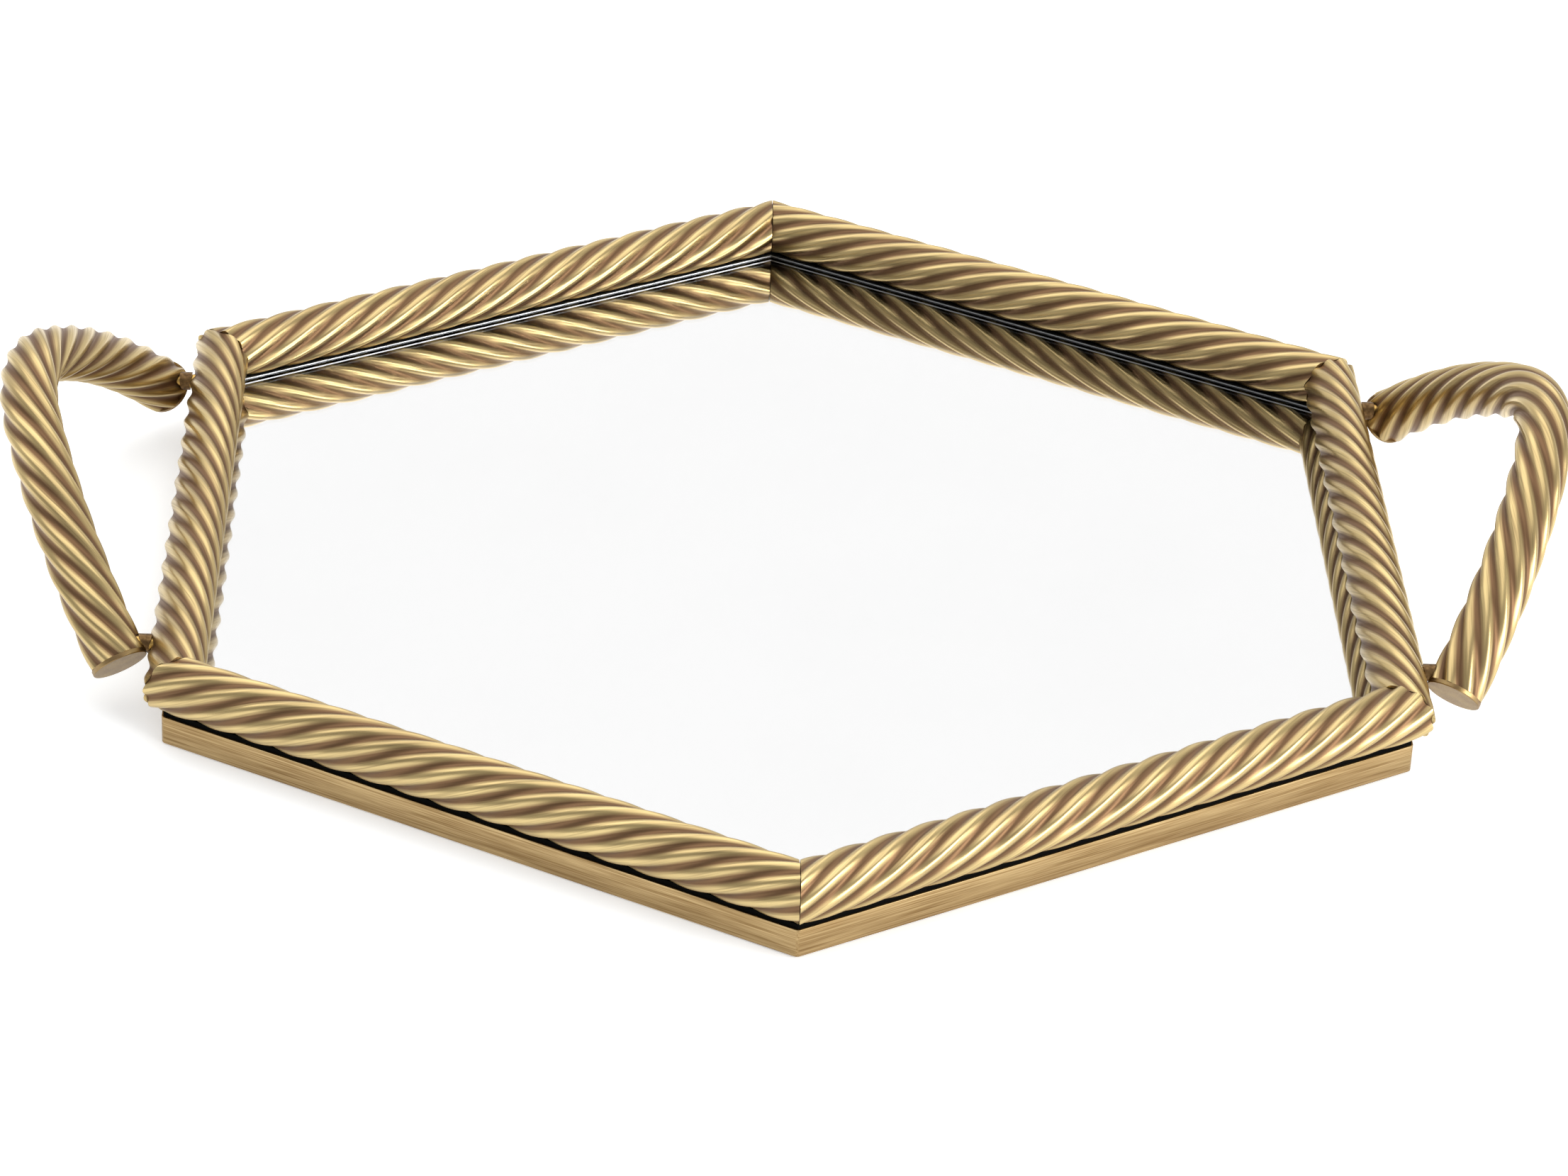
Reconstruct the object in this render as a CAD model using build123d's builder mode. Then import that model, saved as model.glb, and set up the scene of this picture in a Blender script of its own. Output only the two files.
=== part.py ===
"""Hexagonal mirror tray with rope-twist brass rails and two raised loop handles.

The tray is a regular hexagon with flat sides at -X and +X and its points at -Y and +Y.
Z is up, z = 0 is the table, and the origin is under the middle of the mirror.
Every cross-section of the rim is drawn in the plane square to its side, where the first
coordinate is the distance from the middle of the tray and the second is the height.
All sizes are in millimetres.
"""
from build123d import *
import os
from math import cos, radians, sin, sqrt

# ---- driving dimensions ---------------------------------------------------------------
RAIL_SPAN = 410.0          # between the axes of two opposite rope rails
ROPE_D = 20.0              # rope rails and handles, over the crests of the twist
ROPE_WALL = 2.5            # from the crests to the bore of the twisted tube
BAND_H = 10.5              # height of the brass band's top edge
GLASS_T = 2.0              # mirror glass
GLASS_TOP = 11.8           # height of the mirror's top face, level with the rope's underside
HANDLE_SPREAD = 197.0      # between the middles of a handle's two cut ends
HANDLE_REACH = 66.4        # from the cut ends to the handle's peak, along its slope
HANDLE_SLOPE = 55.6        # degrees above the table

# ---- rim ------------------------------------------------------------------------------
apothem = RAIL_SPAN / 2                       # middle of the tray to a rope's axis
rope_r = ROPE_D / 2
bore_r = rope_r - ROPE_WALL
rope_z = GLASS_TOP + rope_r                   # height of the rope's axis
half_side = apothem / sqrt(3)                 # half the length of a rail's axis
far = 2 * apothem                             # long enough to run past every mitre

band_t = 1.6                                  # wall of the brass angle
band_out = apothem + 4.1                      # outer face of the band
band_in = band_out - band_t
band_foot = 0.4                               # the band stays off the table
band_corner_r = 2.0
felt_t = 1.0
felt_edge = band_in - 0.2
flange_w = 18.0                               # ledge that carries the board
flange_top = felt_t + band_t

seat_w = 5.0                                  # steel bar that the rope is screwed down to
seat_in = band_in - seat_w
glass_edge = seat_in - 0.3
board_t = 6.0
board_top = flange_top + board_t
glass_bottom = GLASS_TOP - GLASS_T
glass_arris = 0.3
tape_w = 25.0
tape_edge = glass_edge - 1.5

saddle_out = band_out - 0.7                   # the black saddle strip is set back from the band
saddle_in = apothem - 4.1
saddle_gap = 0.05                             # between the saddle and the rope
bead_w = 1.0
bead_h = 0.5
bead_in = saddle_in - 0.1 - bead_w

# ---- fixings --------------------------------------------------------------------------
rail_screw_at = 75.0                          # each side of the middle of a rail
screw_r = 1.5
screw_clear_r = 1.6
screw_head_r = 2.75
screw_head_h = 1.25
socket_r = 1.15
socket_depth = 0.8
rail_screw_top = 17.0
bush_r = 3.0
bush_bottom = rope_z - sqrt(rope_r**2 - bush_r**2)   # no part of it stands out of the rope
bush_top = bush_bottom + 6.0
board_screw_in = flange_w / 2 + band_t        # back from the band's outer face
board_screw_len = 5.5

# ---- handles --------------------------------------------------------------------------
end_x = apothem + ROPE_D                      # middle of a cut end, so its leg just clears the rail
end_z = rope_z - 3.4
peak_r = 58.0                                 # bend at the peak of the loop
peak_half_turn = 27.4                         # degrees, each side of the peak
cap_r = rope_r - 0.3
cap_t = 1.6
cap_edge = 0.35
spigot_r = bore_r - 0.35                      # the bore bends a little away from it
spigot_len = 11.5
stud_r = 2.5
stud_in = 7.0                                 # along the leg, from its cut end to the stud
stud_anchor = 4.0                             # how far the stud reaches inside the side rail
stud_grip = 5.0                               # how far it reaches past the leg's near wall
collar_r = 3.3

SIDES = {
    "right": 0.0,
    "back_right": 60.0,
    "back_left": 120.0,
    "left": 180.0,
    "front_left": 240.0,
    "front_right": 300.0,
}
ENDS = {"front": -1, "back": 1}
HANDLES = {"left": -1, "right": 1}

os.makedirs("parts", exist_ok=True)


def section_plane(angle):
    """Plane square to one side: x is the distance from the middle, y is the height."""
    a = radians(angle)
    return Plane(origin=(0, 0, 0), x_dir=(cos(a), sin(a), 0), z_dir=(sin(a), -cos(a), 0))


def on_side(angle, out, along, height=0.0):
    """Point at a distance out from the middle and along one side."""
    a = radians(angle)
    return Vector(out * cos(a) - along * sin(a), out * sin(a) + along * cos(a), height)


def run_and_mitre(angle):
    """Run the pending section along its side and cut both ends on the corner planes."""
    extrude(amount=far, both=True)
    left_end = on_side(angle, far, far / sqrt(3))
    right_end = on_side(angle, far, -far / sqrt(3))
    with BuildSketch(Plane.XY.offset(-ROPE_D)) as wedge:
        with BuildLine():
            Polyline((0, 0), (right_end.X, right_end.Y), (left_end.X, left_end.Y), close=True)
        make_face()
    extrude(wedge.sketch, amount=5 * ROPE_D, mode=Mode.INTERSECT)


def hexagon(to_flat):
    """Hexagon with its flats at -X and +X."""
    RegularPolygon(radius=to_flat, side_count=6, major_radius=False, rotation=30)


def save(piece, name):
    piece.part.label = name
    export_step(piece.part, f"parts/{name}.step")


def screw_body(place, length):
    """Countersunk screw with its head's flat face at the place and its shank going up."""
    with BuildSketch(Plane(origin=place, x_dir=(1, 0, 0), z_dir=(0, -1, 0))) as profile:
        with BuildLine():
            Polyline(
                (0, 0),
                (screw_head_r, 0),
                (screw_r, screw_head_h),
                (screw_r, length - screw_r / 2),
                (screw_r / 2, length),
                (0, length),
                close=True,
            )
        make_face()
    revolve(profile.sketch, axis=Axis(place, (0, 0, 1)))
    with BuildSketch(Plane.XY.offset(place.Z)) as socket:
        with Locations((place.X, place.Y)):
            RegularPolygon(radius=socket_r, side_count=6)
    extrude(socket.sketch, amount=socket_depth, mode=Mode.SUBTRACT)


def handle_plane(hand):
    """Sloping plane of one handle: x runs along +Y, y runs outward and up."""
    slope = radians(HANDLE_SLOPE)
    return Plane(
        origin=(hand * end_x, 0, end_z),
        x_dir=(0, 1, 0),
        z_dir=(sin(slope), 0, -hand * cos(slope)),
    )


def handle_path(hand):
    """Centre line of one handle: the bend at its peak, and a bowed leg down to each cut end."""
    with BuildLine(handle_plane(hand)) as path:
        peak = CenterArc(
            (0, HANDLE_REACH - peak_r), peak_r, 90 - peak_half_turn, 2 * peak_half_turn
        )
        TangentArc(peak @ 1, (-HANDLE_SPREAD / 2, 0), tangent=peak % 1)
        TangentArc(peak @ 0, (HANDLE_SPREAD / 2, 0), tangent=-(peak % 0))
    return path


# ---- stud places, needed by the side rails, handles, plugs and collars --------------------
def leg_frame(hand, end):
    """Plane at one cut end of a handle, its normal pointing into the leg."""
    wire = paths[hand].wires()[0]
    at_start = (wire.position_at(0).Y > 0) == (end > 0)
    where = wire.position_at(0 if at_start else 1)
    inward = wire.tangent_at(0) if at_start else -wire.tangent_at(1)
    return Plane(origin=where, z_dir=inward)


paths = {hand: handle_path(hand).line for hand in HANDLES.values()}
stud_places = {}
for hand in HANDLES.values():
    for end in ENDS.values():
        leg = leg_frame(hand, end)
        stud_places[hand, end] = leg.origin + leg.z_dir * stud_in


def stud_cut(hand, end, radius, mode):
    """Straight rod along X from inside the side rail into the handle's leg."""
    place = stud_places[hand, end]
    start = hand * (apothem + stud_anchor)
    with BuildSketch(Plane(origin=(start, place.Y, place.Z), z_dir=(hand, 0, 0))) as rod:
        Circle(radius)
    extrude(rod.sketch, amount=abs(place.X) - rope_r + stud_grip - abs(start), mode=mode)


# ---- rim pieces, one of each for every side ----------------------------------------------
def make_rope_rail(name, angle):
    with BuildPart() as rope_rail:
        with BuildSketch(section_plane(angle)):
            with Locations((apothem, rope_z)):
                Circle(rope_r)
                Circle(bore_r, mode=Mode.SUBTRACT)
        run_and_mitre(angle)
        for along in (-rail_screw_at, rail_screw_at):
            spot = on_side(angle, apothem, along, rope_z - rope_r)
            with BuildSketch(Plane(origin=spot)):
                Circle(bush_r)
            extrude(amount=2 * ROPE_WALL, mode=Mode.SUBTRACT)
        if name in HANDLES:
            for end in ENDS.values():
                stud_cut(HANDLES[name], end, stud_r, Mode.SUBTRACT)
    save(rope_rail, f"rope_rail_{name}")


def make_band(name, angle):
    """Brass angle: the visible band and the ledge under the board."""
    with BuildPart() as band:
        with BuildSketch(section_plane(angle)):
            with BuildLine():
                Polyline(
                    (band_out, band_foot),
                    (band_out, BAND_H),
                    (band_in, BAND_H),
                    (band_in, flange_top),
                    (band_out - flange_w, flange_top),
                    (band_out - flange_w, felt_t),
                    (band_in, felt_t),
                    (band_in, band_foot),
                    close=True,
                )
            make_face()
        run_and_mitre(angle)
        with BuildSketch(Plane.XY):
            hexagon(band_out)
            fillet(vertices(), radius=band_corner_r)
        extrude(amount=BAND_H, mode=Mode.INTERSECT)
        spots = [on_side(angle, apothem, along) for along in (-rail_screw_at, rail_screw_at)]
        spots.append(on_side(angle, band_out - board_screw_in, 0))
        for spot in spots:
            with BuildSketch(Plane(origin=(spot.X, spot.Y, felt_t))):
                Circle(screw_head_r)
            with BuildSketch(Plane(origin=(spot.X, spot.Y, felt_t + screw_head_h))):
                Circle(screw_clear_r)
            loft(mode=Mode.SUBTRACT)
            with BuildSketch(Plane(origin=(spot.X, spot.Y, felt_t))):
                Circle(screw_clear_r)
            extrude(amount=2 * band_t, mode=Mode.SUBTRACT)
    save(band, f"band_{name}")


def make_seat_bar(name, angle):
    """Steel bar inside the band that the rope rail is screwed down to."""
    with BuildPart() as seat_bar:
        with BuildSketch(section_plane(angle)):
            with Locations((seat_in, flange_top)):
                Rectangle(seat_w, BAND_H - flange_top, align=(Align.MIN, Align.MIN))
        run_and_mitre(angle)
        for along in (-rail_screw_at, rail_screw_at):
            spot = on_side(angle, apothem, along, flange_top)
            with BuildSketch(Plane(origin=spot)):
                Circle(screw_clear_r)
            extrude(amount=BAND_H, mode=Mode.SUBTRACT)
    save(seat_bar, f"seat_bar_{name}")


def make_saddle(name, angle):
    """Black rubber strip with a hollow top that the rope lies in."""
    with BuildPart() as saddle:
        with BuildSketch(section_plane(angle)):
            with BuildLine():
                Polyline(
                    (saddle_out, BAND_H),
                    (saddle_out, rope_z),
                    (saddle_in, rope_z),
                    (saddle_in, GLASS_TOP),
                    (seat_in, GLASS_TOP),
                    (seat_in, BAND_H),
                    close=True,
                )
            make_face()
            with Locations((apothem, rope_z)):
                Circle(rope_r + saddle_gap, mode=Mode.SUBTRACT)
        run_and_mitre(angle)
        for along in (-rail_screw_at, rail_screw_at):
            spot = on_side(angle, apothem, along, BAND_H)
            with BuildSketch(Plane(origin=spot)):
                Circle(screw_clear_r)
            extrude(amount=rope_r, mode=Mode.SUBTRACT)
    save(saddle, f"saddle_strip_{name}")


def make_bead(name, angle):
    """Thin bright bead that trims the mirror's edge inside the rope."""
    with BuildPart() as bead:
        with BuildSketch(section_plane(angle)):
            with Locations((bead_in, GLASS_TOP)):
                Rectangle(bead_w, bead_h, align=(Align.MIN, Align.MIN))
        run_and_mitre(angle)
    save(bead, f"mirror_bead_{name}")


for side_name, side_angle in SIDES.items():
    make_rope_rail(side_name, side_angle)
    make_band(side_name, side_angle)
    make_seat_bar(side_name, side_angle)
    make_saddle(side_name, side_angle)
    make_bead(side_name, side_angle)

# ---- bed of the tray, from the table up -----------------------------------------------------
with BuildPart() as felt_base:
    with BuildSketch(Plane.XY):
        hexagon(felt_edge)
    extrude(amount=felt_t)
save(felt_base, "felt_base")

with BuildPart() as backing_board:
    with BuildSketch(Plane.XY.offset(flange_top)):
        hexagon(glass_edge)
    extrude(amount=board_t)
    for side_angle in SIDES.values():
        board_spot = on_side(side_angle, band_out - board_screw_in, 0, flange_top)
        with BuildSketch(Plane(origin=board_spot)):
            Circle(screw_r)
        extrude(amount=board_screw_len, mode=Mode.SUBTRACT)
save(backing_board, "backing_board")

with BuildPart() as bedding_tape:
    with BuildSketch(Plane.XY.offset(board_top)):
        hexagon(tape_edge)
        RegularPolygon(tape_edge - tape_w, 6, major_radius=False, rotation=30, mode=Mode.SUBTRACT)
    extrude(amount=glass_bottom - board_top)
save(bedding_tape, "bedding_tape")

with BuildPart() as mirror_glass:
    with BuildSketch(Plane.XY.offset(glass_bottom)):
        hexagon(glass_edge)
    extrude(amount=GLASS_T)
    chamfer(mirror_glass.faces().sort_by(Axis.Z)[-1].edges(), length=glass_arris)
save(mirror_glass, "mirror_glass")

# ---- screws and bushes -----------------------------------------------------------------------
with BuildPart() as rail_screws:
    for side_angle in SIDES.values():
        for shift in (-rail_screw_at, rail_screw_at):
            screw_body(on_side(side_angle, apothem, shift, felt_t), rail_screw_top - felt_t)
save(rail_screws, "rail_screws")

with BuildPart() as board_screws:
    for side_angle in SIDES.values():
        screw_body(on_side(side_angle, band_out - board_screw_in, 0, felt_t), board_screw_len)
save(board_screws, "board_screws")

with BuildPart() as rail_bushes:
    for side_angle in SIDES.values():
        for shift in (-rail_screw_at, rail_screw_at):
            with BuildSketch(Plane(origin=on_side(side_angle, apothem, shift, bush_bottom))):
                Circle(bush_r)
                Circle(screw_r, mode=Mode.SUBTRACT)
            extrude(amount=bush_top - bush_bottom)
save(rail_bushes, "rail_bushes")


# ---- handles -----------------------------------------------------------------------------------
def make_handle(name, hand):
    with BuildPart() as handle:
        with BuildLine():
            add(paths[hand])
        with BuildSketch(leg_frame(hand, ENDS["front"])):
            Circle(rope_r)
            Circle(bore_r, mode=Mode.SUBTRACT)
        sweep()
        for end in ENDS.values():
            stud_cut(hand, end, stud_r, Mode.SUBTRACT)
    save(handle, f"handle_{name}")


def make_plug(name, hand, end_name, end):
    """Flat end of a leg: a disc with a spigot in the bore, tapped across for the stud."""
    frame = leg_frame(hand, end)
    with BuildPart() as plug:
        with BuildSketch(frame):
            Circle(cap_r)
        extrude(amount=-cap_t)
        fillet(plug.faces().sort_by(Axis(frame.origin, frame.z_dir))[0].edges(), cap_edge)
        with BuildSketch(frame):
            Circle(spigot_r)
        extrude(amount=spigot_len)
        stud_cut(hand, end, stud_r, Mode.SUBTRACT)
    save(plug, f"handle_plug_{name}_{end_name}")


for handle_name, hand in HANDLES.items():
    make_handle(handle_name, hand)
    for end_name, end in ENDS.items():
        make_plug(handle_name, hand, end_name, end)

with BuildPart() as handle_studs:
    for hand, end in stud_places:
        stud_cut(hand, end, stud_r, Mode.ADD)
save(handle_studs, "handle_studs")

with BuildPart() as handle_collars:
    for hand, end in stud_places:
        place = stud_places[hand, end]
        with BuildSketch(Plane(origin=(hand * apothem, place.Y, place.Z), z_dir=(hand, 0, 0))):
            Circle(collar_r)
            Circle(stud_r, mode=Mode.SUBTRACT)
        extrude(amount=abs(place.X) - apothem)
    for hand in HANDLES.values():
        with BuildSketch(section_plane(0)):
            with Locations((hand * apothem, rope_z)):
                Circle(rope_r)
        extrude(amount=half_side, both=True, mode=Mode.SUBTRACT)
        with BuildLine():
            add(paths[hand])
        with BuildSketch(leg_frame(hand, ENDS["front"])):
            Circle(rope_r)
        sweep(mode=Mode.SUBTRACT)
        for end in ENDS.values():
            with BuildSketch(leg_frame(hand, end)):
                Circle(rope_r)
            extrude(amount=-2 * cap_t, mode=Mode.SUBTRACT)
save(handle_collars, "handle_collars")
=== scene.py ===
"""Looks of the hexagonal mirror tray: rope-twist brass rails and handles on a brushed brass band.

Every rim piece is made on the right-hand side of the tray, with its length along Y, and is then
turned about Z to its own side. Sizes are in metres.
"""
from math import ceil, cos, pi, radians, sin

import bmesh
import bpy
from mathutils import Matrix, Vector


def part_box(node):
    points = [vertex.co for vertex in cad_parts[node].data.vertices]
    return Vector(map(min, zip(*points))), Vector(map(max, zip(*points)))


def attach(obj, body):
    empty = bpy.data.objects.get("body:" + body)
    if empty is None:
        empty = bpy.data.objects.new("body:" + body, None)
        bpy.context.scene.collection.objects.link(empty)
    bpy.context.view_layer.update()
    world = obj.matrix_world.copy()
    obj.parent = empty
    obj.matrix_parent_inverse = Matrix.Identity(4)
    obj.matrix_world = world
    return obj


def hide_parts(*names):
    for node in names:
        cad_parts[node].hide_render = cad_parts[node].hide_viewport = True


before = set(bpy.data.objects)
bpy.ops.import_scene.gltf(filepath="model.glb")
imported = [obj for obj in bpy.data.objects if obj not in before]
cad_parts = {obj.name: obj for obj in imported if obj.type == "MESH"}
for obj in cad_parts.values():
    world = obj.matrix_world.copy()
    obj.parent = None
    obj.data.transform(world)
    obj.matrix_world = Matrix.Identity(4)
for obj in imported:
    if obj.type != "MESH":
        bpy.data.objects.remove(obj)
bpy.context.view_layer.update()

bl_info = {
    "name": "Rope-Rail Mirror Tray",
    "version": (1, 0, 0),
    "blender": (4, 5, 0),
    "location": "View3D > Sidebar > Tray",
    "description": "Visible pieces and finishes of a hexagonal mirror tray, built around its frame",
    "category": "Add Mesh",
}

# ---- sizes read from the frame ------------------------------------------------------------
MM = 0.001
rail_low, rail_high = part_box("rope_rail_right")
handle_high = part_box("handle_right")[1]
glass_low, glass_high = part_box("mirror_glass")
ROPE_R = (rail_high.z - rail_low.z) / 2
ROPE_Z = (rail_high.z + rail_low.z) / 2
APOTHEM = (rail_high.x + rail_low.x) / 2
CORNER_HALF = radians(30)                      # from the middle of a side to its corners
RAIL_HALF = (APOTHEM + ROPE_R) * sin(CORNER_HALF) / cos(CORNER_HALF)
PEAK_X = handle_high.x - ROPE_R                # the rope's axis at a handle's peak
PEAK_Z = handle_high.z - ROPE_R

SIDES = {
    "right": 0,
    "back_right": 60,
    "back_left": 120,
    "left": 180,
    "front_left": 240,
    "front_right": 300,
}
HANDLES = {"right": 1, "left": -1}
UP = Vector((0, 0, 1))

# ---- mesh detail ----------------------------------------------------------------------------
STEPS_PER_FLUTE = 14
RING_STEP = 1.25 * MM
MITRE_GAP = 0.12 * MM                          # leaves a hairline joint at each corner
EASE_STEPS = 2
BAND_EASE = 0.25 * MM
BEAD_EASE = 0.15 * MM
BAND_SMOOTH = 32                               # degrees up to which two faces shade as one
BEAD_SMOOTH = 60
MERGE_GAP = 0.002 * MM                         # corners nearer than this become one
FLAT_ANGLE = radians(0.5)                      # faces that bend less than this become one
SHARP_ANGLE = radians(50)                      # edges that bend more than this are eased
RIM_GAP = 0.01 * MM                            # how near the top or bottom an edge to ease lies
MITRE_REACH = 0.02 * MM                        # how near a corner plane an edge of a mitre lies
SILVER_T = 0.05 * MM
SILVER_LIFT = 0.02 * MM                        # just inside the glass, clear of the tape below
SILVER_INSET = 0.4 * MM

# ---- finishes that more than one piece or node shares ---------------------------------------
ROPE_FINISH = "antique_brass_twisted_and_polished"
DEEP = (0.3, 0.85)                             # how sunk the flutes are where their tone begins and ends

# ---- table, lights and camera -----------------------------------------------------------------
FLOOR_HALF = 6.0
FLOOR_DROP = 0.05 * MM                         # keeps the table clear of the felt on it
FLOOR_GLOW = 0.4                               # the table is lit a little from below
KEY_PLACE = Vector((1.75, -1.2, 0.75))
KEY_SIZE = (1.6, 1.0)
OVERHEAD_PLACE = Vector((-0.2, 0.5, 2.0))
OVERHEAD_SIZE = (2.8, 2.8)
BACK_SPAN = (-0.2, 0.75)                       # from the front of the room to its back
BACK_GLOW = (0.5, 1.08)
HORIZON_SPAN = (0.05, 0.4)                     # from the horizon upwards
HORIZON_GLOW = (0.95, 0.45)
SENSOR_W = 36.0                                # millimetres, as the lens is
AIM = Vector((0.7 * MM, -6.8 * MM, 0))


def linear(hex_colour):
    """Linear colour of an sRGB hex colour, with full alpha."""
    levels = [int(hex_colour[i:i + 2], 16) / 255 for i in (1, 3, 5)]
    return (*(c / 12.92 if c <= 0.04045 else ((c + 0.055) / 1.055) ** 2.4 for c in levels), 1.0)


def colour(name, description, hex_colour):
    return bpy.props.FloatVectorProperty(
        name=name, description=description, subtype="COLOR", size=4,
        min=0.0, max=1.0, default=linear(hex_colour),
    )


def length(name, description, default):
    return bpy.props.FloatProperty(
        name=name, description=description, default=default, min=0.0, unit="LENGTH", precision=5,
    )


def angle(name, description, degrees):
    return bpy.props.FloatProperty(
        name=name, description=description, default=radians(degrees), subtype="ANGLE",
    )


def amount(name, description, default, low=0.0, high=10.0):
    return bpy.props.FloatProperty(
        name=name, description=description, default=default, min=low, max=high,
    )


class TrayRope(bpy.types.PropertyGroup):
    flutes: bpy.props.IntProperty(name="Flutes", description="Hollows round the rope", default=8, min=3)
    lead: length("Lead", "Length of one full turn of the twist", 120 * MM)
    depth: length("Flute depth", "From the crests to the bottom of a flute", 1.3 * MM)
    crest: amount("Crest sharpness", "1 is a plain wave, more gives narrower crests", 1.0, 0.5, 4.0)


class TrayHandles(bpy.types.PropertyGroup):
    slope: angle("Slope", "How far the loops lean up from the table", 55.6)
    reach: length("Reach", "From the cut ends to the peak, along the slope", 66.4 * MM)
    spread: length("Spread", "Between the middles of the two cut ends", 197 * MM)
    peak_r: length("Peak radius", "Bend of the rope's axis at the peak", 58 * MM)
    half_turn: angle("Half turn", "Bend of the peak on each side of its middle", 27.4)


class TrayColours(bpy.types.PropertyGroup):
    crest: colour("Crests", "Rubbed brass on the crests of the rope", "#CBB47F")
    flute: colour("Flutes", "Toned brass at the bottom of the flutes", "#765B42")
    patina: colour("Patina", "Dark toning that polishing leaves behind", "#463222")
    band: colour("Band", "Brushed brass of the band", "#BCA275")
    band_dark: colour("Band shade", "Darker brush marks of the band", "#8A6E47")
    cap: colour("Cut ends", "Filed brass of the handles' ends", "#9C8459")
    glass: colour("Glass", "Tint of the mirror glass", "#FEFEFE")
    silver: colour("Silvering", "Back of the mirror", "#F4F4F4")
    floor: colour("Floor", "Pale table", "#F4F6F8")


class TrayStage(bpy.types.PropertyGroup):
    distance: length("View distance", "From the camera to the point it looks at", 1.9553)
    heading: angle("Heading", "Turn of the view from the tray's own front", 2.459)
    tilt: angle("Tilt", "How far the view looks down", 29.87)
    roll: angle("Roll", "Turn of the picture about the view", 2.601)
    lens: amount("Lens", "Focal length in millimetres on a 36 mm wide sensor", 127.4, 10.0, 300.0)
    key: amount("Key light", "Power of the right-hand soft light in watts", 42.0, 0.0, 500.0)
    overhead: amount("Overhead light", "Power of the soft light above in watts", 30.0, 0.0, 500.0)


def settings():
    return bpy.context.scene.tray_rope, bpy.context.scene.tray_handles, bpy.context.scene.tray_colours


# ---- materials --------------------------------------------------------------------------------
def add_node(tree, kind, inputs=None, **own):
    """Add a node with its own settings, and with each input a value or another node's output."""
    made = tree.nodes.new(kind)
    for name, value in own.items():
        setattr(made, name, value)
    for name, value in (inputs or {}).items():
        if isinstance(value, bpy.types.NodeSocket):
            tree.links.new(value, made.inputs[name])
        else:
            made.inputs[name].default_value = value
    return made


def new_material(name):
    """Empty material and its node tree."""
    material = bpy.data.materials.new(name)
    material.use_nodes = True
    material.node_tree.nodes.clear()
    return material, material.node_tree


def finish_material(material, inputs):
    """Close a material with its shader, whose inputs are given."""
    tree = material.node_tree
    shader = add_node(tree, "ShaderNodeBsdfPrincipled", inputs)
    add_node(tree, "ShaderNodeOutputMaterial", {"Surface": shader.outputs["BSDF"]})
    return material


def stretched_noise(tree, place, spacing, detail=3.0, roughness=0.55):
    """Noise whose grains are spacing = (x, y, z) metres apart."""
    mapped = add_node(tree, "ShaderNodeMapping", {"Vector": place, "Scale": [1 / s for s in spacing]})
    noise = add_node(
        tree, "ShaderNodeTexNoise",
        {"Vector": mapped.outputs["Vector"], "Scale": 1.0, "Detail": detail, "Roughness": roughness},
    )
    return noise.outputs["Fac"]


def remap(tree, value, low, high, to_low=0.0, to_high=1.0):
    ranged = add_node(
        tree, "ShaderNodeMapRange",
        {"Value": value, "From Min": low, "From Max": high, "To Min": to_low, "To Max": to_high},
    )
    return ranged.outputs["Result"]


def blend_colours(tree, share, first, second):
    mixed = add_node(
        tree, "ShaderNodeMix", {0: share, 6: first, 7: second}, data_type="RGBA",
    )
    return mixed.outputs[2]


def attribute(tree, name, output):
    return add_node(tree, "ShaderNodeAttribute", attribute_name=name).outputs[output]


def object_place(tree):
    return add_node(tree, "ShaderNodeTexCoord").outputs["Object"]


def rope_brass(colours):
    """Brass tube, fluted and twisted, toned dark and then hand polished.

    The crests are rubbed bright, and the flutes keep a brown tone and are duller. Fine drawing
    marks follow the twist, and soft clouds of tone vary the colour from place to place.
    """
    material, tree = new_material(ROPE_FINISH)
    grain = attribute(tree, "grain", "Vector")
    hollow = attribute(tree, "hollow", "Fac")
    marks = stretched_noise(tree, grain, (0.7 * MM, 0.7 * MM, 22 * MM))
    clouds = stretched_noise(tree, object_place(tree), (28 * MM, 28 * MM, 28 * MM), 2.0)
    rubbed = remap(tree, hollow, *DEEP)
    tone = blend_colours(tree, rubbed, colours.crest, colours.flute)
    cloudy = remap(tree, clouds, 0.35, 0.75, 0.0, 0.35)
    toned = blend_colours(tree, cloudy, tone, colours.flute)
    marked = remap(tree, marks, 0.48, 0.75, 0.0, 0.5)
    base = blend_colours(tree, marked, toned, colours.patina)
    worn = remap(tree, marks, 0.3, 0.75, 0.27, 0.37)
    dulled = remap(tree, hollow, *DEEP, 0.0, 0.18)
    gloss = add_node(tree, "ShaderNodeMath", {0: worn, 1: dulled}, operation="ADD")
    bump = add_node(
        tree, "ShaderNodeBump", {"Strength": 0.25, "Distance": 0.05 * MM, "Height": marks},
    )
    return finish_material(material, {
        "Base Color": base, "Metallic": 1.0, "Roughness": gloss.outputs["Value"],
        "Normal": bump.outputs["Normal"],
    })


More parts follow.
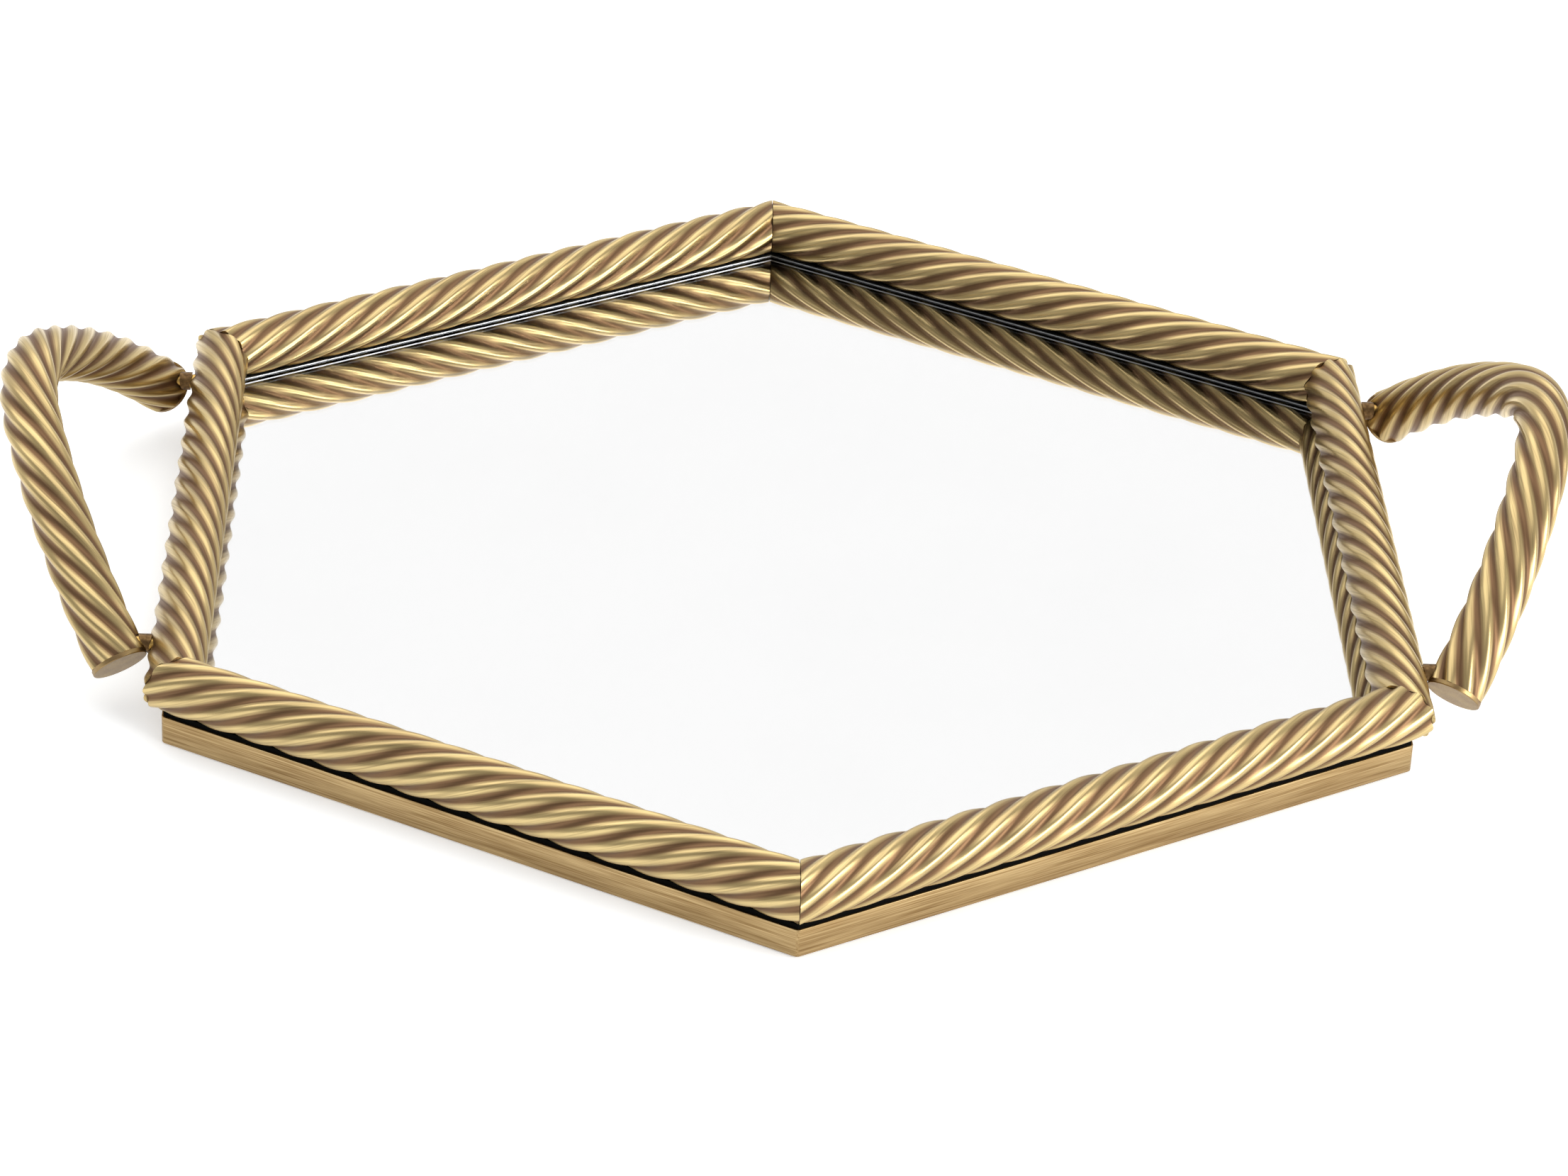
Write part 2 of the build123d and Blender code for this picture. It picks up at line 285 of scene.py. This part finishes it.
def band_brass(colours):
    """Flat brass strip, brushed along its length with fine abrasive and toned."""
    material, tree = new_material("antique_brass_strip_brushed")
    grain = attribute(tree, "grain", "Vector")
    brushing = stretched_noise(tree, grain, (0.5 * MM, 30 * MM, 0.5 * MM), 4.0)
    clouds = stretched_noise(tree, grain, (10 * MM, 45 * MM, 6 * MM), 2.0)
    marked = remap(tree, brushing, 0.36, 0.66)
    brushed = blend_colours(tree, marked, colours.band, colours.band_dark)
    cloudy = remap(tree, clouds, 0.4, 0.75, 0.0, 0.4)
    base = blend_colours(tree, cloudy, brushed, colours.band_dark)
    gloss = remap(tree, brushing, 0.3, 0.75, 0.30, 0.44)
    bump = add_node(
        tree, "ShaderNodeBump", {"Strength": 0.3, "Distance": 0.03 * MM, "Height": brushing},
    )
    return finish_material(material, {
        "Base Color": base, "Metallic": 1.0, "Roughness": gloss, "Normal": bump.outputs["Normal"],
    })


def cap_brass(colours):
    """Brass disc, filed and rubbed on fine paper, so it is flatter in colour and less bright."""
    material, tree = new_material("antique_brass_filed_flat")
    place = object_place(tree)
    scratches = stretched_noise(tree, place, (0.4 * MM, 6 * MM, 0.4 * MM), 4.0)
    clouds = stretched_noise(tree, place, (6 * MM, 6 * MM, 6 * MM), 2.0)
    share = remap(tree, clouds, 0.35, 0.7, 0.0, 0.6)
    base = blend_colours(tree, share, colours.cap, colours.flute)
    gloss = remap(tree, scratches, 0.3, 0.75, 0.32, 0.46)
    bump = add_node(
        tree, "ShaderNodeBump", {"Strength": 0.25, "Distance": 0.03 * MM, "Height": scratches},
    )
    return finish_material(material, {
        "Base Color": base, "Metallic": 1.0, "Roughness": gloss, "Normal": bump.outputs["Normal"],
    })


def mottled(
    name, first, second, spacing, metallic, rough_low, rough_high, bump_height, shine=0.5,
):
    """Material of one colour that drifts into a second one, with grain at the given spacing."""
    material, tree = new_material(name)
    grain = stretched_noise(tree, object_place(tree), spacing, 4.0)
    share = remap(tree, grain, 0.3, 0.7)
    base = blend_colours(tree, share, linear(first), linear(second))
    gloss = remap(tree, grain, 0.3, 0.7, rough_low, rough_high)
    bump = add_node(
        tree, "ShaderNodeBump", {"Strength": 0.5, "Distance": bump_height, "Height": grain},
    )
    return finish_material(material, {
        "Base Color": base, "Metallic": metallic, "Roughness": gloss,
        "Specular IOR Level": shine, "Normal": bump.outputs["Normal"],
    })


def mirror_glass(colours):
    """Low-iron float glass, fire-polished: clear and without a tint."""
    material, tree = new_material("float_glass_polished")
    smears = stretched_noise(tree, object_place(tree), (60 * MM, 60 * MM, 60 * MM), 2.0)
    gloss = remap(tree, smears, 0.4, 0.8, 0.0, 0.012)
    return finish_material(material, {
        "Base Color": colours.glass, "Transmission Weight": 1.0, "IOR": 1.52, "Roughness": gloss,
    })


def silvering(colours):
    """Silver laid on the back of the glass: a clean mirror with the slightest cloud in it."""
    material, tree = new_material("mirror_silver_deposited")
    clouds = stretched_noise(tree, object_place(tree), (80 * MM, 80 * MM, 80 * MM), 2.0)
    share = remap(tree, clouds, 0.4, 0.8, 0.0, 0.25)
    base = blend_colours(tree, share, colours.silver, linear("#EEEEEE"))
    return finish_material(material, {"Base Color": base, "Metallic": 1.0, "Roughness": 0.01})


def saddle_rubber_and_gap_shade():
    """EPDM strip, extruded: dull, with faint die lines. Its near-black colour is darker than rubber is,
    partly the rubber's own black and partly painted shade of the gap under the rope.
    """
    return mottled(
        # near-black colours darker than real rubber: the rubber's own black plus painted shade of the
        # gap under the rope
        "epdm_rubber_extruded", "#030303", "#070706", (0.8 * MM, 0.8 * MM, 0.8 * MM),
        0.0, 0.82, 0.94, 0.04 * MM, shine=0.05,
    )


def bead_steel():
    """Stainless bead, drawn and left satin, slightly clouded by handling."""
    return mottled(
        "stainless_steel_drawn", "#ADAFB1", "#8E9092", (3 * MM, 3 * MM, 0.3 * MM),
        1.0, 0.30, 0.42, 0.01 * MM,
    )


def seat_steel():
    """Mild steel bar, rolled and dipped in black lacquer."""
    return mottled(
        "mild_steel_lacquered", "#1B1A19", "#2A2826", (1.5 * MM, 1.5 * MM, 1.5 * MM),
        0.0, 0.38, 0.55, 0.03 * MM,
    )


def board_mdf():
    """Fibreboard, pressed and sawn: mid-brown with short pale fibres."""
    return mottled(
        "mdf_pressed", "#A9865C", "#8C6B45", (1.2 * MM, 0.5 * MM, 0.3 * MM),
        0.0, 0.72, 0.88, 0.05 * MM,
    )


def foam_tape():
    """Acrylic foam tape, cut from a roll: off-white with fine cells."""
    return mottled(
        "acrylic_foam_tape_cut", "#E4E1DA", "#CFCBC2", (0.6 * MM, 0.6 * MM, 0.6 * MM),
        0.0, 0.7, 0.85, 0.05 * MM,
    )


def base_felt():
    """Wool felt, pressed: charcoal, matted fibres with a soft nap."""
    return mottled(
        "wool_felt_pressed", "#26241F", "#3A372F", (0.5 * MM, 0.9 * MM, 0.5 * MM),
        0.0, 0.88, 0.98, 0.12 * MM,
    )


def screw_steel():
    """Steel screws, zinc plated: cool grey with a slightly yellow passivated bloom."""
    return mottled(
        "steel_zinc_plated", "#B9BBBD", "#9A9C93", (0.9 * MM, 0.9 * MM, 0.9 * MM),
        1.0, 0.28, 0.42, 0.01 * MM,
    )


def bush_brass():
    """Free-cutting brass, turned: bright yellow with fine tool rings."""
    return mottled(
        "brass_turned", "#C9A45C", "#A9854A", (1.5 * MM, 1.5 * MM, 0.25 * MM),
        1.0, 0.22, 0.36, 0.02 * MM,
    )


def collar_brass():
    """Short brass collars, turned and toned almost brown where no polishing reaches."""
    return mottled(
        "antique_brass_turned_and_toned", "#7D6240", "#4E3A25", (1.2 * MM, 1.2 * MM, 1.2 * MM),
        1.0, 0.34, 0.5, 0.02 * MM,
    )


# ---- mesh tools ---------------------------------------------------------------------------------
def turned(degrees):
    return Matrix.Rotation(radians(degrees), 4, "Z")


def finish_piece(mesh, name, material, slot, *nodes):
    """Turn a bmesh into a piece that rides with the tray and stands for the given nodes."""
    data = bpy.data.meshes.new(name)
    mesh.to_mesh(data)
    mesh.free()
    data.materials.append(material)
    piece = bpy.data.objects.new(name, data)
    bpy.context.scene.collection.objects.link(piece)
    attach(piece, "root")
    if nodes:
        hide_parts(*nodes)
    return piece


def give_finish(material, *nodes):
    """Give CAD nodes a better material."""
    for name in nodes:
        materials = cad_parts[name].data.materials
        materials.clear()
        materials.append(material)


def rope_ring(mesh, rope):
    """One closed section of the rope in the XY plane, and its crests and hollows marked."""
    hollow = mesh.verts.layers.float.new("hollow")
    grain = mesh.verts.layers.float_vector.new("grain")
    segments = rope.flutes * STEPS_PER_FLUTE
    verts = bmesh.ops.create_circle(mesh, segments=segments, radius=ROPE_R)["verts"]
    for vert in verts:
        turn = Vector((1, 0)).angle_signed(vert.co.xy, 0)
        sunk = 1 - ((1 + cos(rope.flutes * turn)) / 2) ** rope.crest
        vert.co *= 1 - sunk * rope.depth / ROPE_R
        vert[hollow] = sunk
        vert[grain] = vert.co
    return verts


def sweep_rope(mesh, rope, line):
    """Carry the rope's section along line, twisting it left-handed.

    The line is a list of frames that are RING_STEP apart.
    """
    verts = rope_ring(mesh, rope)
    edges = mesh.edges[:]
    grain = mesh.verts.layers.float_vector["grain"]
    twist = Matrix.Rotation(-2 * pi * RING_STEP / rope.lead, 4, "Z")
    place = line[0]
    bmesh.ops.transform(mesh, matrix=place, verts=verts)
    turn = Matrix.Identity(4)
    for frame_here in line[1:]:
        turn = turn @ twist
        next_place = frame_here @ turn
        grown = bmesh.ops.extrude_edge_only(mesh, edges=edges)["geom"]
        verts = [part for part in grown if isinstance(part, bmesh.types.BMVert)]
        fresh = set(verts)
        edges = [
            part for part in grown
            if isinstance(part, bmesh.types.BMEdge) and fresh.issuperset(part.verts)
        ]
        bmesh.ops.transform(mesh, matrix=next_place @ place.inverted(), verts=verts)
        for vert in verts:
            vert[grain] = vert[grain] + UP * RING_STEP
        place = next_place


def shade_rope(mesh, sharp):
    """Smooth the rope, and keep the edges of its cut ends sharp."""
    for face in mesh.faces:
        face.smooth = len(face.verts) < 5
    for edge in sharp:
        edge.smooth = False


def cut_and_close(mesh, point, normal):
    """Cut the rope square to normal, drop what lies beyond and close the end."""
    whole = mesh.verts[:] + mesh.edges[:] + mesh.faces[:]
    cut = bmesh.ops.bisect_plane(
        mesh, geom=whole, plane_co=point, plane_no=normal, clear_outer=True,
    )["geom_cut"]
    rim = [part for part in cut if isinstance(part, bmesh.types.BMEdge)]
    bmesh.ops.edgeloop_fill(mesh, edges=rim)
    return rim


def straight_line():
    """Frames of a rail's axis, on the right-hand side and along +Y."""
    half = RAIL_HALF + RING_STEP
    axes = Matrix(((0, 1, 0, APOTHEM), (0, 0, 1, 0), (1, 0, 0, ROPE_Z), (0, 0, 0, 1)))
    count = ceil(2 * half / RING_STEP)
    return [axes @ Matrix.Translation((0, 0, i * RING_STEP - half)) for i in range(count + 1)]


def arc_points(centre, radius, start, end):
    """Points on an arc about RING_STEP apart, from angle start to end, with the way it runs."""
    count = max(1, round(abs(end - start) * radius / RING_STEP))
    run = 1 if end > start else -1
    points = []
    for i in range(count):
        here = start + (end - start) * i / count
        points.append((
            centre + radius * Vector((cos(here), sin(here))),
            run * Vector((-sin(here), cos(here))),
        ))
    return points


def loop_outline(handles):
    """Axis of a handle in its own sloping plane: x across, y up the slope, from the front end."""
    peak_centre = Vector((0, handles.reach - handles.peak_r))
    shoulder = pi / 2 - handles.half_turn
    join = peak_centre + handles.peak_r * Vector((cos(shoulder), sin(shoulder)))
    inward = (peak_centre - join).normalized()
    foot = Vector((handles.spread / 2, 0))
    chord = foot - join
    leg_r = chord.length_squared / (2 * chord.dot(inward))
    leg_centre = join + leg_r * inward
    from_join = (join - leg_centre).normalized()
    from_foot = (foot - leg_centre).normalized()
    top = Vector((1, 0)).angle_signed(from_join, 0) * -1
    bottom = Vector((1, 0)).angle_signed(from_foot, 0) * -1
    mirrored = Vector((-leg_centre.x, leg_centre.y))
    rising = arc_points(mirrored, leg_r, pi - bottom, pi - top)
    over = arc_points(peak_centre, handles.peak_r, pi - shoulder, shoulder)
    falling = arc_points(leg_centre, leg_r, top, bottom)
    falling.append((foot, Vector((sin(bottom), -cos(bottom)))))
    return rising + over + falling


def handle_line(handles, hand):
    """Frames along one handle's axis, from its front cut end to its back one."""
    across = Vector((0, 1, 0))
    up_slope = Vector((hand * cos(handles.slope), 0, sin(handles.slope)))
    origin = Vector((hand * PEAK_X, 0, PEAK_Z)) - handles.reach * up_slope
    square = across.cross(up_slope)
    frames = []
    for point, way in loop_outline(handles):
        place = origin + point.x * across + point.y * up_slope
        along = way.x * across + way.y * up_slope
        side = square.cross(along)
        frames.append(Matrix((
            (side.x, square.x, along.x, place.x),
            (side.y, square.y, along.y, place.y),
            (side.z, square.z, along.z, place.z),
            (0, 0, 0, 1),
        )))
    return frames


def eased_copy(name, width, degrees):
    """Copy of a rim node with its top and bottom edges eased, as a file and use leave them."""
    low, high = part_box(name)
    mesh = bmesh.new()
    mesh.from_mesh(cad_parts[name].data)
    bmesh.ops.remove_doubles(mesh, verts=mesh.verts[:], dist=MERGE_GAP)
    bmesh.ops.dissolve_limit(
        mesh, angle_limit=FLAT_ANGLE, verts=mesh.verts[:], edges=mesh.edges[:],
    )
    bmesh.ops.rotate(mesh, verts=mesh.verts[:], matrix=turned(-degrees).to_3x3())
    sharp = [
        edge for edge in mesh.edges
        if edge.is_manifold and edge.calc_face_angle() > SHARP_ANGLE
        and all(min(v.co.z - low.z, high.z - v.co.z) < RIM_GAP for v in edge.verts)
        and not on_mitre(edge)
    ]
    bmesh.ops.bevel(
        mesh, geom=sharp, offset=width, offset_type="OFFSET", segments=EASE_STEPS,
        profile=0.5, affect="EDGES", material=-1,
    )
    grain = mesh.verts.layers.float_vector.new("grain")
    for vert in mesh.verts:
        vert[grain] = vert.co
    bmesh.ops.rotate(mesh, verts=mesh.verts[:], matrix=turned(degrees).to_3x3())
    return mesh


def on_mitre(edge):
    """True for an edge that lies in a corner plane of the right-hand side."""
    slope = sin(CORNER_HALF) / cos(CORNER_HALF)
    return all(abs(abs(v.co.y) - v.co.x * slope) < MITRE_REACH for v in edge.verts)


def shade_flat_parts(piece, degrees):
    """Smooth the eased edges and keep the flats flat."""
    piece.data.shade_smooth()
    piece.data.set_sharp_from_angle(angle=radians(degrees))


# ---- operators --------------------------------------------------------------------------------
class TRAY_OT_rails(bpy.types.Operator):
    """Twist the six rope rails and mitre them at the corners"""
    bl_idname = "tray.rails"
    bl_label = "Rope Rails"

    def execute(self, context):
        rope, _, colours = settings()
        material = rope_brass(colours)
        for side, degrees in SIDES.items():
            mesh = bmesh.new()
            sweep_rope(mesh, rope, straight_line())
            rims = []
            for end in (-1, 1):
                normal = Vector((-sin(CORNER_HALF), end * cos(CORNER_HALF), 0))
                rims += cut_and_close(mesh, normal * -MITRE_GAP, normal)
            bmesh.ops.recalc_face_normals(mesh, faces=mesh.faces[:])
            shade_rope(mesh, [edge for edge in rims if edge.is_valid])
            bmesh.ops.rotate(mesh, verts=mesh.verts[:], matrix=turned(degrees).to_3x3())
            finish_piece(
                mesh, f"twisted_rail_{side}", material, "rope_brass", f"rope_rail_{side}",
            )
        return {"FINISHED"}


class TRAY_OT_handles(bpy.types.Operator):
    """Bend the two rope handles and finish their cut ends"""
    bl_idname = "tray.handles"
    bl_label = "Rope Handles"

    def execute(self, context):
        rope, handles, colours = settings()
        material = bpy.data.materials[ROPE_FINISH]
        for name, hand in HANDLES.items():
            mesh = bmesh.new()
            sweep_rope(mesh, rope, handle_line(handles, hand))
            rim = [edge for edge in mesh.edges if edge.is_boundary]
            bmesh.ops.holes_fill(mesh, edges=rim, sides=0)
            bmesh.ops.recalc_face_normals(mesh, faces=mesh.faces[:])
            shade_rope(mesh, rim)
            finish_piece(
                mesh, f"twisted_handle_{name}", material, "rope_brass", f"handle_{name}",
            )
        plugs = [f"handle_plug_{hand}_{end}" for hand in HANDLES for end in ("front", "back")]
        give_finish(cap_brass(colours), *plugs)
        give_finish(collar_brass(), "handle_collars")
        give_finish(bush_brass(), "handle_studs", "rail_bushes")
        return {"FINISHED"}


class TRAY_OT_band(bpy.types.Operator):
    """Make the six lengths of the brushed band with eased edges"""
    bl_idname = "tray.band"
    bl_label = "Brass Band"

    def execute(self, context):
        colours = settings()[2]
        material = band_brass(colours)
        for side, degrees in SIDES.items():
            mesh = eased_copy(f"band_{side}", BAND_EASE, degrees)
            piece = finish_piece(
                mesh, f"brass_band_{side}", material, "band_brass", f"band_{side}",
            )
            shade_flat_parts(piece, BAND_SMOOTH)
        return {"FINISHED"}


class TRAY_OT_mirror(bpy.types.Operator):
    """Make the mirror: clear glass, its silvered back and the bright bead round it"""
    bl_idname = "tray.mirror"
    bl_label = "Mirror"

    def execute(self, context):
        colours = settings()[2]
        give_finish(mirror_glass(colours), "mirror_glass")
        mesh = bmesh.new()
        to_corner = (glass_high.x - SILVER_INSET) / cos(CORNER_HALF)
        rim = bmesh.ops.create_circle(mesh, cap_ends=True, segments=6, radius=to_corner)["verts"]
        bmesh.ops.translate(mesh, verts=rim, vec=UP * (glass_low.z + SILVER_LIFT))
        grown = bmesh.ops.extrude_face_region(mesh, geom=mesh.faces[:])["geom"]
        top = [part for part in grown if isinstance(part, bmesh.types.BMVert)]
        bmesh.ops.translate(mesh, verts=top, vec=UP * SILVER_T)
        bmesh.ops.recalc_face_normals(mesh, faces=mesh.faces[:])
        finish_piece(mesh, "mirror_silvering", silvering(colours), "mirror")
        steel = bead_steel()
        for side, degrees in SIDES.items():
            mesh = eased_copy(f"mirror_bead_{side}", BEAD_EASE, degrees)
            piece = finish_piece(
                mesh, f"bright_bead_{side}", steel, "bead_steel", f"mirror_bead_{side}",
            )
            shade_flat_parts(piece, BEAD_SMOOTH)
        return {"FINISHED"}


class TRAY_OT_bed(bpy.types.Operator):
    """Give the saddles, seat bars, board, tape, felt and screws their finishes"""
    bl_idname = "tray.bed"
    bl_label = "Bed and Fixings"

    def execute(self, context):
        # the saddles' near-black rubber also paints the shade of the gap under the ropes
        give_finish(saddle_rubber_and_gap_shade(), *(f"saddle_strip_{side}" for side in SIDES))
        give_finish(seat_steel(), *(f"seat_bar_{side}" for side in SIDES))
        give_finish(board_mdf(), "backing_board")
        give_finish(foam_tape(), "bedding_tape")
        give_finish(base_felt(), "felt_base")
        give_finish(screw_steel(), "rail_screws", "board_screws")
        return {"FINISHED"}


class TRAY_OT_stage(bpy.types.Operator):
    """Set the pale table, the soft lights and the camera"""
    bl_idname = "tray.stage"
    bl_label = "Table, Light and Camera"

    def execute(self, context):
        stage = context.scene.tray_stage
        context.scene.view_settings.view_transform = "Standard"
        add_floor(context.scene.tray_colours)
        add_room(context.scene)
        add_light("key_light", KEY_PLACE, KEY_SIZE, stage.key)
        add_light("overhead_light", OVERHEAD_PLACE, OVERHEAD_SIZE, stage.overhead)
        add_camera(context.scene, stage)
        return {"FINISHED"}


def add_floor(colours):
    mesh = bmesh.new()
    sheet = bmesh.ops.create_grid(
        mesh, x_segments=1, y_segments=1, size=FLOOR_HALF,
    )["verts"]
    bmesh.ops.translate(mesh, verts=sheet, vec=UP * -FLOOR_DROP)
    data = bpy.data.meshes.new("floor")
    mesh.to_mesh(data)
    mesh.free()
    material, tree = new_material("acrylic_sheet_opal_matt")
    flecks = stretched_noise(tree, object_place(tree), (2 * MM, 2 * MM, 2 * MM), 2.0)
    gloss = remap(tree, flecks, 0.3, 0.7, 0.85, 0.95)
    finish_material(material, {
        "Base Color": colours.floor, "Roughness": gloss,
        "Emission Color": colours.floor, "Emission Strength": FLOOR_GLOW,
    })
    data.materials.append(material)
    floor = bpy.data.objects.new("floor", data)
    bpy.context.scene.collection.objects.link(floor)


def add_room(scene):
    """Pale room, brightest behind the tray and along the horizon, dimmer overhead and in front."""
    world = bpy.data.worlds.new("studio")
    scene.world = world
    world.use_nodes = True
    tree = world.node_tree
    tree.nodes.clear()
    way = add_node(tree, "ShaderNodeTexCoord").outputs["Generated"]
    axes = add_node(tree, "ShaderNodeSeparateXYZ", {"Vector": way})
    back = remap(tree, axes.outputs["Y"], *BACK_SPAN, *BACK_GLOW)
    horizon = remap(tree, axes.outputs["Z"], *HORIZON_SPAN, *HORIZON_GLOW)
    glow = add_node(tree, "ShaderNodeMath", {0: back, 1: horizon}, operation="MAXIMUM")
    light = add_node(
        tree, "ShaderNodeBackground",
        {"Color": linear("#FFFFFF"), "Strength": glow.outputs["Value"]},
    )
    add_node(tree, "ShaderNodeOutputWorld", {"Surface": light.outputs["Background"]})


def add_light(name, place, size, watts):
    """Soft rectangular light that faces the middle of the tray."""
    light = bpy.data.lights.new(name, "AREA")
    light.shape = "RECTANGLE"
    light.size, light.size_y = size
    light.energy = watts
    lamp = bpy.data.objects.new(name, light)
    facing = (-place).to_track_quat("-Z", "Y").to_matrix().to_4x4()
    lamp.matrix_world = Matrix.Translation(place) @ facing
    lamp.visible_camera = False
    bpy.context.scene.collection.objects.link(lamp)


def add_camera(scene, stage):
    """Camera that looks at a point near the middle of the tray's foot, from the front and above."""
    data = bpy.data.cameras.new("camera")
    data.sensor_width = SENSOR_W
    data.lens = stage.lens
    camera = bpy.data.objects.new("camera", data)
    turn = (
        Matrix.Rotation(-stage.heading, 4, "Z")
        @ Matrix.Rotation(pi / 2 - stage.tilt, 4, "X")
        @ Matrix.Rotation(stage.roll, 4, "Z")
    )
    away = Matrix.Translation((0, 0, stage.distance))
    camera.matrix_world = Matrix.Translation(AIM) @ turn @ away
    scene.collection.objects.link(camera)
    scene.camera = camera


class TRAY_PT_panel(bpy.types.Panel):
    bl_idname = "TRAY_PT_panel"
    bl_label = "Mirror Tray"
    bl_space_type = "VIEW_3D"
    bl_region_type = "UI"
    bl_category = "Tray"

    def draw(self, context):
        layout = self.layout
        for group in GROUPS.values():
            owner = getattr(context.scene, group)
            box = layout.box()
            for name in owner.__annotations__:
                box.prop(owner, name)
        for operator in OPERATORS:
            layout.operator(operator.bl_idname)


GROUPS = {
    TrayRope: "tray_rope",
    TrayHandles: "tray_handles",
    TrayColours: "tray_colours",
    TrayStage: "tray_stage",
}
OPERATORS = (
    TRAY_OT_stage,
    TRAY_OT_rails,
    TRAY_OT_handles,
    TRAY_OT_band,
    TRAY_OT_mirror,
    TRAY_OT_bed,
)


def register():
    for group, name in GROUPS.items():
        bpy.utils.register_class(group)
        setattr(bpy.types.Scene, name, bpy.props.PointerProperty(type=group))
    for operator in OPERATORS:
        bpy.utils.register_class(operator)
    bpy.utils.register_class(TRAY_PT_panel)


def unregister():
    bpy.utils.unregister_class(TRAY_PT_panel)
    for operator in reversed(OPERATORS):
        bpy.utils.unregister_class(operator)
    for group, name in GROUPS.items():
        delattr(bpy.types.Scene, name)
        bpy.utils.unregister_class(group)


def main():
    register()
    for operator in OPERATORS:
        family, action = operator.bl_idname.split(".")
        getattr(getattr(bpy.ops, family), action)()


if __name__ == "__main__":
    main()
